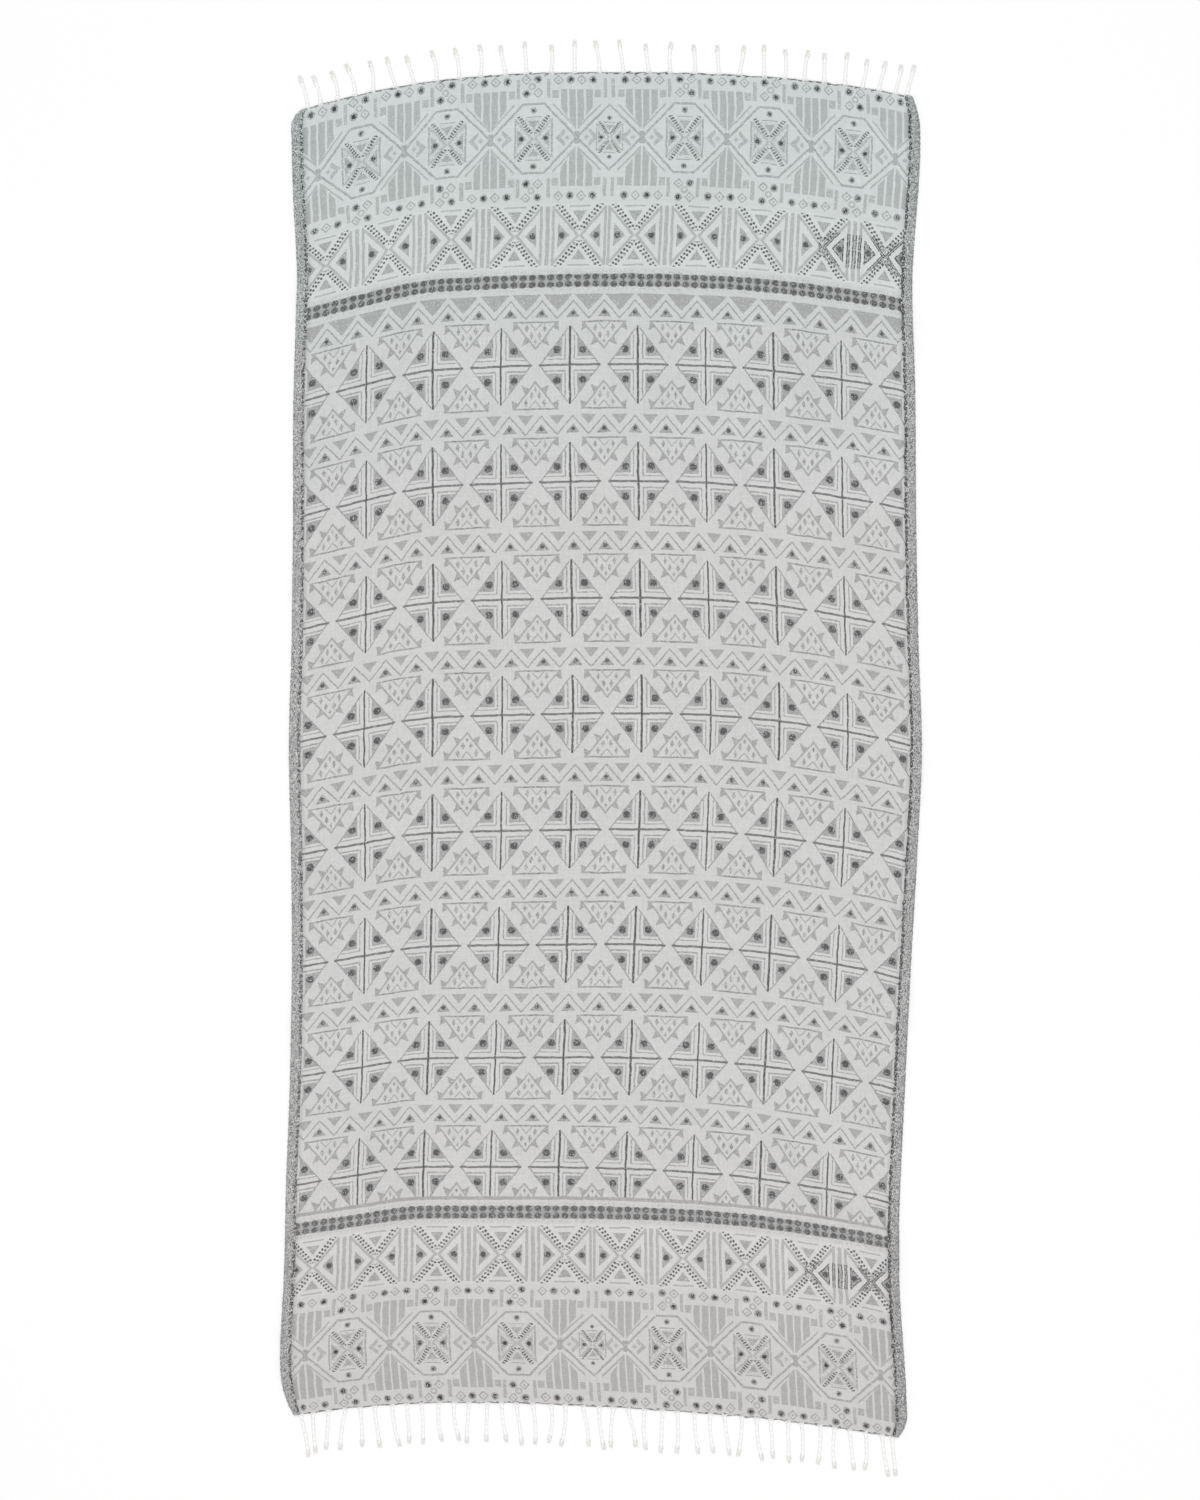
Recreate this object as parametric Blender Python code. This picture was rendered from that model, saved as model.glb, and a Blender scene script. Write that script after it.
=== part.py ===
"""Hammam towel, spread flat: one woven sheet with folded side hems and a knotted fringe on each end.

Run with Blender 4.5: blender --background --python part.py
Metres, +Z up. The towel lies on z = 0 with its length along Y. The origin is the middle of its footprint.
"""
import bisect
import collections
import math
import random

import bmesh
import bpy
from mathutils import Vector

MM = 0.001

# The cloth as it was woven, before it was laid out.
CLOTH_LENGTH = 1.797
CLOTH_WIDTH = 0.828
CLOTH_THICKNESS = 0.0018

# The side hems are folded over once: two layers, with a rounded outer edge and a step at the sewn line.
HEM_WIDTH = 0.0165
HEM_STEP = 0.0025
HEM_THICKNESS = 0.0034
HEM_EDGE_THICKNESS = 0.0024
HEM_EDGE_ROUND = 0.0015

# Steps of the cloth's mesh. Rows close up near the two ends, where the corners turn in.
COLUMN_STEP = 0.039
ROW_STEP = 0.036
END_ROWS = (0.0, 0.004, 0.009, 0.015, 0.022, 0.030, 0.042)

# How the towel lies. One row for each crosswise section, in millimetres:
#   along                distance down the flat cloth from its far end
#   middle               y where the section crosses the cloth's middle line
#   left, right          x of the two side edges
#   drift                how far the threads of the middle line lie right of the middle between the edges
#   tilt                 how much lower (in y) the right half lies than the middle, and the left half higher
#   sag_left, sag_right  how far the section's two ends trail behind its middle: the rows lie bowed
Section = collections.namedtuple("Section", "along middle left right drift tilt sag_left sag_right")
SECTIONS = [
    Section(0.0, 916.0, -413.0, 425.0, 5.0, 0.0, 55.0, 35.0),
    Section(88.0, 828.7, -411.0, 425.0, 4.5, 0.0, 64.0, 39.0),
    Section(217.0, 699.3, -405.0, 416.0, 2.5, 0.0, 55.0, 41.0),
    Section(277.0, 638.7, -406.5, 415.0, 1.0, 0.0, 53.0, 41.0),
    Section(389.0, 527.3, -410.0, 419.0, -0.5, 0.0, 56.0, 44.0),
    Section(542.0, 371.3, -410.5, 420.0, 0.0, 0.0, 53.0, 45.0),
    Section(695.0, 216.0, -412.0, 423.0, 1.5, 0.0, 48.0, 52.0),
    Section(848.0, 62.0, -416.0, 427.5, 3.0, 0.0, 44.0, 52.0),
    Section(1001.0, -92.7, -413.0, 421.0, 1.5, 0.0, 39.0, 51.0),
    Section(1154.0, -246.0, -412.0, 412.0, 0.0, 3.0, 38.0, 51.0),
    Section(1307.0, -396.7, -414.5, 405.0, 0.0, 5.0, 36.0, 45.0),
    Section(1460.0, -544.0, -420.0, 398.0, -0.5, 11.0, 39.0, 43.0),
    Section(1520.0, -603.3, -421.0, 397.5, 0.0, 8.0, 36.0, 40.0),
    Section(1580.0, -660.7, -422.5, 398.0, 1.0, 10.0, 35.0, 38.0),
    Section(1709.0, -779.3, -427.5, 406.0, -0.5, 15.0, 36.0, 36.0),
    Section(1797.0, -862.7, -422.5, 409.5, 0.0, 22.0, 36.0, 22.0),
]
BOW_POWER = 2.6

# The corners are turned in. In millimetres: the end and the side (-1 left, 1 right) that meet there,
# how far the corner is drawn inwards, and over what length of the side edge.
Corner = collections.namedtuple("Corner", "along side inwards reach")
CORNERS = [
    Corner(0.0, -1, 11.0, 14.0),
    Corner(0.0, 1, 7.0, 17.0),
    Corner(1797.0, -1, 13.0, 66.0),
    Corner(1797.0, 1, 13.0, 40.0),
]
CORNER_START = 0.93

# Low swells where the hem's sewing puckers the cloth off the floor. In millimetres: how far down the cloth
# and at which side they start, how wide and how high they are. reach is a share of the cloth's half width.
Swell = collections.namedtuple("Swell", "along side reach width height")
SWELLS = [
    Swell(250.0, -1, 0.50, 42.0, 2.4),
    Swell(310.0, 1, 0.55, 48.0, 2.6),
    Swell(640.0, -1, 0.35, 55.0, 1.8),
    Swell(865.0, 1, 0.65, 50.0, 2.8),
    Swell(1185.0, 1, 0.40, 46.0, 2.2),
    Swell(1235.0, -1, 0.50, 58.0, 2.2),
    Swell(1545.0, 1, 0.45, 42.0, 2.4),
    Swell(1690.0, -1, 0.40, 44.0, 2.2),
]
SWELL_FLOOR = 0.0004

# The fringe: twisted strands with a knot near the tip, joined by a narrow strip beside the cloth's end.
PARTING = 0.0005
STRIP_WIDTH = 0.003
STRIP_HEIGHT = 0.0018
TIP_SPACING = 0.0095

#   along, outward        the end it stands at, in millimetres down the cloth, and its direction along y
#   first, last           where the strip starts and stops, as shares of the half width
#   strands, bunching     how many strands, and how much closer they stand towards the corners
#   length, uneven        a strand's mean length and how much it varies, in millimetres
#   lean, lean_sides      how far right the tips lean at the middle, and how much more at the right edge
#   spread, bend          how much the lean varies, and how far a strand bows sideways
Fringe = collections.namedtuple(
    "Fringe", "name along outward first last strands bunching length uneven lean lean_sides spread bend seed"
)
FRINGES = [
    Fringe("fringe_top", 0.0, 1, -0.968, 0.985, 30, 0.90, 37.0, 3.0, -2.5, 9.0, 4.0, 2.0, 11),
    Fringe("fringe_bottom", 1797.0, -1, -0.962, 0.972, 39, 0.30, 50.5, 3.5, 2.0, 0.0, 9.0, 2.5, 23),
]

# A strand's section along its length, in millimetres: even twisted cord, then the knot, then the loose tip.
StrandSection = collections.namedtuple("StrandSection", "share width height")
STRAND_ROOT_WIDTH = 0.0044
STRAND = [
    StrandSection(0.16, 4.4, 3.6),
    StrandSection(0.38, 4.6, 3.8),
    StrandSection(0.60, 4.6, 3.8),
    StrandSection(0.75, 4.0, 3.6),
    StrandSection(0.79, 6.8, 5.6),
    StrandSection(0.89, 6.8, 5.6),
    StrandSection(0.92, 4.0, 3.2),
    StrandSection(1.00, 5.6, 2.8),
]


def clear_scene():
    for old in list(bpy.context.scene.objects):
        bpy.data.objects.remove(old, do_unlink=True)


def material(name, colour, roughness):
    made = bpy.data.materials.new(name)
    made.use_nodes = True
    shader = made.node_tree.nodes["Principled BSDF"]
    shader.inputs["Base Color"].default_value = (*colour, 1.0)
    shader.inputs["Roughness"].default_value = roughness
    shader.inputs["Metallic"].default_value = 0.0
    return made


def finished(name, bm, finish):
    """Turns a bmesh into an object with its faces outward, smooth but for its real edges."""
    bmesh.ops.recalc_face_normals(bm, faces=bm.faces)
    mesh = bpy.data.meshes.new(name)
    bm.to_mesh(mesh)
    bm.free()
    mesh.shade_smooth()
    mesh.set_sharp_from_angle(angle=math.radians(50.0))
    mesh.materials.append(finish)
    made = bpy.data.objects.new(name, mesh)
    bpy.context.collection.objects.link(made)
    return made


def smooth_step(value):
    value = min(max(value, 0.0), 1.0)
    return value * value * (3.0 - 2.0 * value)


# ---- how the flat cloth lies -------------------------------------------------------------------------

def slope(index, column):
    """The table's rate of change at one row, for one column."""
    before = SECTIONS[max(index - 1, 0)]
    after = SECTIONS[min(index + 1, len(SECTIONS) - 1)]
    return (getattr(after, column) - getattr(before, column)) / (after.along - before.along)


def section_at(along):
    """The section at this distance (metres) down the cloth, eased between the table's rows."""
    place = along / MM
    index = bisect.bisect_right([row.along for row in SECTIONS], place) - 1
    index = min(max(index, 0), len(SECTIONS) - 2)
    here, following = SECTIONS[index], SECTIONS[index + 1]
    span = following.along - here.along
    t = (place - here.along) / span
    values = {"along": along}
    for column in Section._fields[1:]:
        start, stop = getattr(here, column), getattr(following, column)
        rise_start, rise_stop = slope(index, column) * span, slope(index + 1, column) * span
        cubic = (
            start * (2 * t**3 - 3 * t**2 + 1) + rise_start * (t**3 - 2 * t**2 + t)
            + stop * (3 * t**2 - 2 * t**3) + rise_stop * (t**3 - t**2)
        )
        values[column] = cubic * MM
    return Section(**values)


def turned_in(across, along):
    """The same place across the cloth, drawn inwards where a corner is turned in."""
    share = smooth_step((abs(across) - CORNER_START) / (1.0 - CORNER_START))
    for corner in CORNERS:
        near = abs(along - corner.along * MM) / (corner.reach * MM)
        if near < 1.0 and across * corner.side > 0:
            across -= corner.side * corner.inwards * MM / (CLOTH_WIDTH / 2.0) * (1.0 - near) ** 2 * share
    return across


def lie(across, along):
    """The plan position of a point of the flat cloth: across runs from -1 (left edge) to 1 (right edge)."""
    row = section_at(along)
    across = turned_in(across, along)
    sag = row.sag_left if across < 0 else row.sag_right
    x = row.left + (row.right - row.left) * (across + 1.0) / 2.0 + row.drift * (1.0 - across**2)
    y = row.middle - row.tilt * across - sag * abs(across) ** BOW_POWER
    return Vector((x, y))


def swell_at(across, along):
    """How far the cloth stands off the floor here."""
    height = 0.0
    for swell in SWELLS:
        inwards = (1.0 - across * swell.side) / (2.0 * swell.reach)
        fade = 1.0 - smooth_step(inwards)
        off = (along - swell.along * MM) / (swell.width * MM)
        height += swell.height * MM * math.exp(-off * off) * fade
    return max(height - SWELL_FLOOR, 0.0)


# ---- the woven sheet ---------------------------------------------------------------------------------

def column_places():
    """Places across the cloth, from -1 to 1: the hem's edge, its flat and its step, then even columns."""
    hem = (0.0, HEM_EDGE_ROUND, HEM_WIDTH - HEM_STEP, HEM_WIDTH)
    left = [-1.0 + distance / (CLOTH_WIDTH / 2.0) for distance in hem]
    inner_width = CLOTH_WIDTH - 2.0 * HEM_WIDTH
    count = round(inner_width / COLUMN_STEP)
    inner = [left[-1] * (1.0 - 2.0 * i / count) for i in range(1, count)]
    right = [-place for place in reversed(left)]
    return left + inner + right


def row_places():
    """Distances down the cloth, close together at both ends."""
    far = list(END_ROWS)
    near = [CLOTH_LENGTH - distance for distance in reversed(END_ROWS)]
    count = round((near[0] - far[-1]) / ROW_STEP)
    between = [far[-1] + (near[0] - far[-1]) * i / count for i in range(1, count)]
    return far + between + near


def sheet_thickness(across):
    """One layer in the middle, two layers in the hems."""
    from_edge = (1.0 - abs(across)) * CLOTH_WIDTH / 2.0
    inner = smooth_step((HEM_WIDTH - from_edge) / HEM_STEP)
    outer = smooth_step(from_edge / HEM_EDGE_ROUND)
    hem = HEM_EDGE_THICKNESS + (HEM_THICKNESS - HEM_EDGE_THICKNESS) * outer
    return CLOTH_THICKNESS + (hem - CLOTH_THICKNESS) * inner


def build_cloth(finish):
    """A grid in flat cloth coordinates, extruded into a thick sheet, then laid out."""
    columns, rows = column_places(), row_places()
    bm = bmesh.new()
    bmesh.ops.create_grid(bm, x_segments=len(columns) - 1, y_segments=len(rows) - 1, size=1.0)
    for vert in bm.verts:
        column = round((vert.co.x + 1.0) / 2.0 * (len(columns) - 1))
        row = round((1.0 - vert.co.y) / 2.0 * (len(rows) - 1))
        vert.co = (columns[column], rows[row], 0.0)
    top = bmesh.ops.extrude_face_region(bm, geom=bm.faces[:], use_keep_orig=True)
    for item in top["geom"]:
        if isinstance(item, bmesh.types.BMVert):
            item.co.z = 1.0
    for vert in bm.verts:
        across, along, layer = vert.co
        plan = lie(across, along)
        vert.co = (plan.x, plan.y, swell_at(across, along) + layer * sheet_thickness(across))
    return finished("towel_cloth", bm, finish)


# ---- the fringes -------------------------------------------------------------------------------------

Strand = collections.namedtuple("Strand", "root lean bend length")


def strands_of(fringe):
    """Each strand's root (across the cloth), lean and bend at its tip, and length."""
    draw = random.Random(fringe.seed)
    strands = []
    tip_before = -math.inf
    margin = STRAND_ROOT_WIDTH / (CLOTH_WIDTH / 2.0)
    first, last = fringe.first + margin, fringe.last - margin
    for i in range(fringe.strands):
        even = 2.0 * i / (fringe.strands - 1) - 1.0
        bunched = math.sin(even * fringe.bunching) / math.sin(fringe.bunching)
        root = (first + last) / 2.0 + bunched * (last - first) / 2.0
        if 0 < i < fringe.strands - 1:
            root += draw.uniform(-1.0, 1.0) * margin / 2.0
        lean = fringe.lean + fringe.lean_sides * root + draw.uniform(-1.0, 1.0) * fringe.spread
        root_x = lie(root, fringe.along * MM).x
        tip_x = max(root_x + lean * MM, tip_before + TIP_SPACING)
        tip_before = tip_x
        lean = tip_x - root_x
        bend = draw.uniform(-1.0, 1.0) * fringe.bend * MM
        length = (fringe.length + draw.uniform(-1.0, 1.0) * fringe.uneven) * MM
        strands.append(Strand(root, lean, bend, length))
    return strands


def edge_point(fringe, across, outwards):
    """A point beside the cloth's end, a distance outwards in y."""
    plan = lie(across, fringe.along * MM)
    return Vector((plan.x, plan.y + fringe.outward * outwards))


def strand_point(fringe, strand, share):
    """The middle of a strand at a share of its length, in plan."""
    root = edge_point(fringe, strand.root, PARTING + STRIP_WIDTH)
    sideways = strand.lean * share**1.4 + strand.bend * math.sin(math.pi * share)
    return root + Vector((sideways, fringe.outward * strand.length * share))


def extrude_strand(bm, fringe, strand):
    """Draws one strand out of the strip's outer face, section by section."""
    root = strand_point(fringe, strand, 0.0)
    middle = Vector((root.x, root.y, STRIP_HEIGHT / 2.0))
    face = min(bm.faces, key=lambda f: (f.calc_center_median() - middle).length)
    sideways = Vector((1.0, 0.0))
    for section in STRAND:
        face = bmesh.ops.extrude_discrete_faces(bm, faces=[face])["faces"][0]
        old = face.calc_center_median()
        before = strand_point(fringe, strand, section.share - 0.02)
        here = strand_point(fringe, strand, section.share)
        direction = (here - before).normalized() * fringe.outward
        new_sideways = Vector((direction.y, -direction.x))
        for vert in face.verts:
            offset = vert.co - old
            side = 1.0 if offset.xy.dot(sideways) > 0 else -1.0
            plan = here + new_sideways * side * section.width * MM / 2.0
            vert.co = (plan.x, plan.y, section.height * MM if offset.z > 0 else 0.0)
        sideways = new_sideways


def build_fringe(fringe, finish):
    """A strip that follows the cloth's end, with one column pair for each strand's root."""
    strands = strands_of(fringe)
    half_root = STRAND_ROOT_WIDTH / 2.0 / (CLOTH_WIDTH / 2.0)
    columns = [fringe.first]
    for strand in strands:
        columns += [strand.root - half_root, strand.root + half_root]
    columns.append(fringe.last)
    bm = bmesh.new()
    bmesh.ops.create_grid(bm, x_segments=len(columns) - 1, y_segments=1, size=1.0)
    for vert in bm.verts:
        column = round((vert.co.x + 1.0) / 2.0 * (len(columns) - 1))
        vert.co.x = columns[column]
        vert.co.y = PARTING if vert.co.y < 0 else PARTING + STRIP_WIDTH
    top = bmesh.ops.extrude_face_region(bm, geom=bm.faces[:], use_keep_orig=True)
    for item in top["geom"]:
        if isinstance(item, bmesh.types.BMVert):
            item.co.z = STRIP_HEIGHT
    for vert in bm.verts:
        plan = edge_point(fringe, vert.co.x, vert.co.y)
        vert.co = (plan.x, plan.y, vert.co.z)
    for strand in strands:
        extrude_strand(bm, fringe, strand)
    return finished(fringe.name, bm, finish)


# ---- the towel ---------------------------------------------------------------------------------------

def centre_footprint(pieces):
    """Moves every mesh so that the origin is the middle of the towel's footprint."""
    points = [vert.co for piece in pieces for vert in piece.data.vertices]
    low = Vector((min(p.x for p in points), min(p.y for p in points), 0.0))
    high = Vector((max(p.x for p in points), max(p.y for p in points), 0.0))
    shift = (low + high) / -2.0
    for piece in pieces:
        for vert in piece.data.vertices:
            vert.co += shift
        piece.data.update()


def main():
    clear_scene()
    woven = material("woven_cotton", (0.60, 0.61, 0.60), 0.9)
    cord = material("fringe_cotton", (0.82, 0.81, 0.78), 0.9)
    pieces = [build_cloth(woven)]
    for fringe in FRINGES:
        pieces.append(build_fringe(fringe, cord))
    centre_footprint(pieces)


main()
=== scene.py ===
# %% [markdown]
# # A hammam towel, spread flat
#
# The towel is one woven sheet of cotton with a fringe of twisted cords on each end. The solid model gives its
# outline, its thickness and the place of every cord. This script dresses it: the cloth gets its woven
# figures, its folded hems and their stitches, and the cords get their twist, their knots and their loose
# ends.
#
# The first cell loads the solid model as a fixed frame. Its cloth's box is read later, to line the sheet up
# with it.

# %% Load the solid model
import bisect
import collections
import math
import random

import bpy
from mathutils import Matrix, Vector, noise


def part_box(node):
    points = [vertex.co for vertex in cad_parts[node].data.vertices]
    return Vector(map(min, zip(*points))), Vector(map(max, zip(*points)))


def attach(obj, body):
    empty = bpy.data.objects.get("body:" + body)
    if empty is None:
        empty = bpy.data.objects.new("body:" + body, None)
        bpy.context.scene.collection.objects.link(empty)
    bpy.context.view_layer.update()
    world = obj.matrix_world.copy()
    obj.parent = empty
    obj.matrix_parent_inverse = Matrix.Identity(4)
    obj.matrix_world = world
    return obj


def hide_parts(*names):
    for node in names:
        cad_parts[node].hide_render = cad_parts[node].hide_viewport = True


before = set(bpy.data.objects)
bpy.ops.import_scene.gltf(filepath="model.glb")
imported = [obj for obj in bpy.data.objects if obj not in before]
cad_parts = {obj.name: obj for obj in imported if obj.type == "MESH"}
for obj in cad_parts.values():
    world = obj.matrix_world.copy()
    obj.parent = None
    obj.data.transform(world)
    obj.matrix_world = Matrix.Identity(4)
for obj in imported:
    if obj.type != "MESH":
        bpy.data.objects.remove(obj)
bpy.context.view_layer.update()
MM = 0.001

# %% [markdown]
# ## How the flat cloth lies
#
# A weaver plans a cloth flat, in straight rows. Spread on a floor it never lies straight again: here the
# crosswise threads are bowed, with their ends trailing behind the middle, and the two long sides wander a
# little. So every place has two addresses. One is on the flat cloth: how far across, from -1 at the left edge
# to 1 at the right, and how far along, from the far end. The other is on the floor, x and y.
#
# The table is the solid model's own, with one row for each crosswise section. Between its rows the values are
# eased with a cubic curve, so no kink shows. Only the far right corner is drawn in over a longer stretch
# here.

# %% The sections of the cloth
CLOTH_LENGTH = 1.797
CLOTH_WIDTH = 0.828
HALF_WIDTH = CLOTH_WIDTH / 2.0

# In millimetres. middle: y on the cloth's middle line. left, right: x of the edges. drift: how far the middle
# threads lie to the right. tilt: how much lower the right half lies. sag: how far the section's ends trail.
Section = collections.namedtuple("Section", "along middle left right drift tilt sag_left sag_right")
SECTIONS = [
    Section(0.0, 916.0, -413.0, 425.0, 5.0, 0.0, 55.0, 35.0),
    Section(88.0, 828.7, -411.0, 425.0, 4.5, 0.0, 64.0, 39.0),
    Section(217.0, 699.3, -405.0, 416.0, 2.5, 0.0, 55.0, 41.0),
    Section(277.0, 638.7, -406.5, 415.0, 1.0, 0.0, 53.0, 41.0),
    Section(389.0, 527.3, -410.0, 419.0, -0.5, 0.0, 56.0, 44.0),
    Section(542.0, 371.3, -410.5, 420.0, 0.0, 0.0, 53.0, 45.0),
    Section(695.0, 216.0, -412.0, 423.0, 1.5, 0.0, 48.0, 52.0),
    Section(848.0, 62.0, -416.0, 427.5, 3.0, 0.0, 44.0, 52.0),
    Section(1001.0, -92.7, -413.0, 421.0, 1.5, 0.0, 39.0, 51.0),
    Section(1154.0, -246.0, -412.0, 412.0, 0.0, 3.0, 38.0, 51.0),
    Section(1307.0, -396.7, -414.5, 405.0, 0.0, 5.0, 36.0, 45.0),
    Section(1460.0, -544.0, -420.0, 398.0, -0.5, 11.0, 39.0, 43.0),
    Section(1520.0, -603.3, -421.0, 397.5, 0.0, 8.0, 36.0, 40.0),
    Section(1580.0, -660.7, -422.5, 398.0, 1.0, 10.0, 35.0, 38.0),
    Section(1709.0, -779.3, -427.5, 406.0, -0.5, 15.0, 36.0, 36.0),
    Section(1797.0, -862.7, -422.5, 409.5, 0.0, 22.0, 36.0, 22.0),
]
BOW_POWER = 2.6

# In millimetres: which corner, how far it is drawn inwards, and over what length of the side edge.
Corner = collections.namedtuple("Corner", "along side inwards reach")
CORNERS = [
    Corner(0.0, -1, 11.0, 14.0),
    Corner(0.0, 1, 9.5, 40.0),
    Corner(1797.0, -1, 13.0, 66.0),
    Corner(1797.0, 1, 13.0, 40.0),
]
CORNER_START = 0.93


def smooth_step(value):
    value = min(max(value, 0.0), 1.0)
    return value * value * (3.0 - 2.0 * value)


def slope(index, column):
    before = SECTIONS[max(index - 1, 0)]
    after = SECTIONS[min(index + 1, len(SECTIONS) - 1)]
    return (getattr(after, column) - getattr(before, column)) / (after.along - before.along)


def section_at(along):
    """The section at this distance down the cloth, in metres."""
    place = along / MM
    index = bisect.bisect_right([row.along for row in SECTIONS], place) - 1
    index = min(max(index, 0), len(SECTIONS) - 2)
    here, following = SECTIONS[index], SECTIONS[index + 1]
    span = following.along - here.along
    t = (place - here.along) / span
    values = {"along": along}
    for column in Section._fields[1:]:
        rise_start, rise_stop = slope(index, column) * span, slope(index + 1, column) * span
        values[column] = MM * (
            getattr(here, column) * (2 * t**3 - 3 * t**2 + 1) + rise_start * (t**3 - 2 * t**2 + t)
            + getattr(following, column) * (3 * t**2 - 2 * t**3) + rise_stop * (t**3 - t**2)
        )
    return Section(**values)


def turned_in(across, along):
    """The same place across the cloth, drawn inwards where a corner is turned in."""
    share = smooth_step((abs(across) - CORNER_START) / (1.0 - CORNER_START))
    for corner in CORNERS:
        near = abs(along - corner.along * MM) / (corner.reach * MM)
        if near < 1.0 and across * corner.side > 0:
            across -= corner.side * corner.inwards * MM / HALF_WIDTH * (1.0 - near) ** 2 * share
    return across


def lie(across, along, row=None):
    """Where a place of the flat cloth lies on the floor. The row may be worked out beforehand."""
    row = row or section_at(along)
    across = turned_in(across, along)
    sag = row.sag_left if across < 0 else row.sag_right
    x = row.left + (row.right - row.left) * (across + 1.0) / 2.0 + row.drift * (1.0 - across**2)
    y = row.middle - row.tilt * across - sag * abs(across) ** BOW_POWER
    return Vector((x, y))


# %% [markdown]
# The solid model was moved a millimetre so that its origin is the middle of its footprint, fringes included.
# The next cell finds that move by comparing the far edge's highest point with the solid cloth's box.

# %% Line the sheet up with the solid model
far_edge = max(lie(i / 200.0, 0.0).y for i in range(-200, 201))
left_edge = min(lie(-1.0, i / 500.0 * CLOTH_LENGTH).x for i in range(501))
solid_low, solid_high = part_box("towel_cloth")
TO_FRAME = Vector((solid_low.x - left_edge, solid_high.y - far_edge))
print("the sheet is moved by", [round(1000.0 * d, 2) for d in TO_FRAME], "mm")


# %% [markdown]
# The threads are not quite as even as the outline. On the left they lie a few millimetres further up and to
# the left than an even spacing would put them, and beside the right hem a few millimetres further up. That
# fades out towards the two ends, and the move to the left also towards the edges.

# %% The plan position in the frame
# In millimetres: the middle and reach across the cloth, then how far the threads have moved left and up.
WANDERS = [
    (-190.0, 105.0, 2.7, 0.0), (-245.0, 62.0, 0.0, 3.7), (-90.0, 60.0, 0.0, -0.7),
    (-414.0, 60.0, 0.0, 2.0), (414.0, 80.0, 0.0, 4.0),
]
WANDER_FADE = 160.0


def on_floor(across, along, row=None):
    u, v = across * HALF_WIDTH / MM, along / MM
    fade = smooth_step(min(v, CLOTH_LENGTH / MM - v) / WANDER_FADE)
    moved_left = moved_up = 0.0
    for middle, reach, left, up in WANDERS:
        share = fade * math.exp(-((u - middle) / reach) ** 2)
        moved_left += left * share
        moved_up += up * share
    moved_left *= smooth_step((1.0 - abs(across)) * 6.0)
    plan = lie(across - moved_left * MM / HALF_WIDTH, along, row) + TO_FRAME
    plan.y += moved_up * MM
    return plan


# %% [markdown]
# ## The sheet
#
# A real sheet of cloth is a surface with a little thickness, so it is modelled as one: a flat grid in the
# cloth's own coordinates, extruded into a second layer, then laid out. The columns stand close together in
# the hems, where the cloth is folded over once and its edge is round. The rows fall on the edges of the woven
# bands, so that each band can take a weave of its own.
#
# The long side edges are slightly jagged, because the hem's thread draws them in stitch by stitch. The two
# ends are drawn out a little here and there by the cords.

# %% Where the bands begin and end
FIELD = "diamond_weave"
CROSSES = "crossed_weave"
MEDALLIONS = "medallion_weave"
CLOSE_DOTS = "close_dot_weave"
REVERSE = "reverse_weave"
WEAVES = [FIELD, CROSSES, MEDALLIONS, CLOSE_DOTS, REVERSE]

# Each end, in millimetres from that end: medallions, crosses, a dark band of close dots, then the field.
BAND_ENDS = [(174.0, MEDALLIONS), (263.0, CROSSES), (290.0, CLOSE_DOTS), (2000.0, FIELD)]
HEM_WIDTH = 16.5 * MM


def band_at(along):
    """The weave at this distance down the cloth."""
    from_end = min(along, CLOTH_LENGTH - along) / MM
    return next(weave for end, weave in BAND_ENDS if from_end < end)


# %% Rows and columns of the grid
ROW_STEP = 4.0 * MM
COLUMN_STEP = 11.0 * MM
HEM_COLUMNS = [0.0, 0.35, 1.0, 2.2, 5.0, 8.5, 12.0, 14.2, 15.1, 15.7, 16.5]


def row_places():
    """Even rows between the bands' edges, so that a row falls on each edge."""
    edges = [0.0] + [end * MM for end, _ in BAND_ENDS[:-1]]
    edges += [CLOTH_LENGTH - edge for edge in reversed(edges)]
    rows = []
    for start, stop in zip(edges, edges[1:]):
        count = round((stop - start) / ROW_STEP)
        rows += [start + (stop - start) * i / count for i in range(count)]
    return rows + [CLOTH_LENGTH]


def column_places():
    """Places across the cloth, from -1 to 1."""
    left = [-1.0 + distance * MM / HALF_WIDTH for distance in HEM_COLUMNS]
    count = round((CLOTH_WIDTH - 2.0 * HEM_WIDTH) / COLUMN_STEP)
    inner = [left[-1] * (1.0 - 2.0 * i / count) for i in range(1, count)]
    return left + inner + [-place for place in reversed(left)]


rows, columns = row_places(), column_places()
print(len(rows), "rows and", len(columns), "columns")

# %% [markdown]
# Four things raise the surface: the low swells where the hems pucker, which the solid model has too, the fold
# of the hems, a dimple at each hem stitch, and a slight unevenness of the cloth itself.

# %% Heights of the sheet
Swell = collections.namedtuple("Swell", "along side reach width height")
SWELLS = [
    Swell(250.0, -1, 0.50, 42.0, 2.4),
    Swell(310.0, 1, 0.55, 48.0, 2.6),
    Swell(640.0, -1, 0.35, 55.0, 1.8),
    Swell(865.0, 1, 0.65, 50.0, 2.8),
    Swell(1185.0, 1, 0.40, 46.0, 2.2),
    Swell(1235.0, -1, 0.50, 58.0, 2.2),
    Swell(1545.0, 1, 0.45, 42.0, 2.4),
    Swell(1690.0, -1, 0.40, 44.0, 2.2),
]
SWELL_FLOOR = 0.4
LAYER = 1.8
# The hem's section, in millimetres: distance from the edge, underside, top.
HEM_SECTION = [
    (0.0, 1.0, 1.5), (0.35, 0.35, 2.4), (1.0, 0.05, 3.0), (2.2, 0.0, 3.35), (8.5, 0.0, 3.4),
    (14.2, 0.0, 3.3), (15.1, 0.0, 2.9), (15.7, 0.0, 1.95), (16.5, 0.0, LAYER),
]
STITCH_STEP = 7.0
FIRST_STITCH = 5.0


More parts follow.
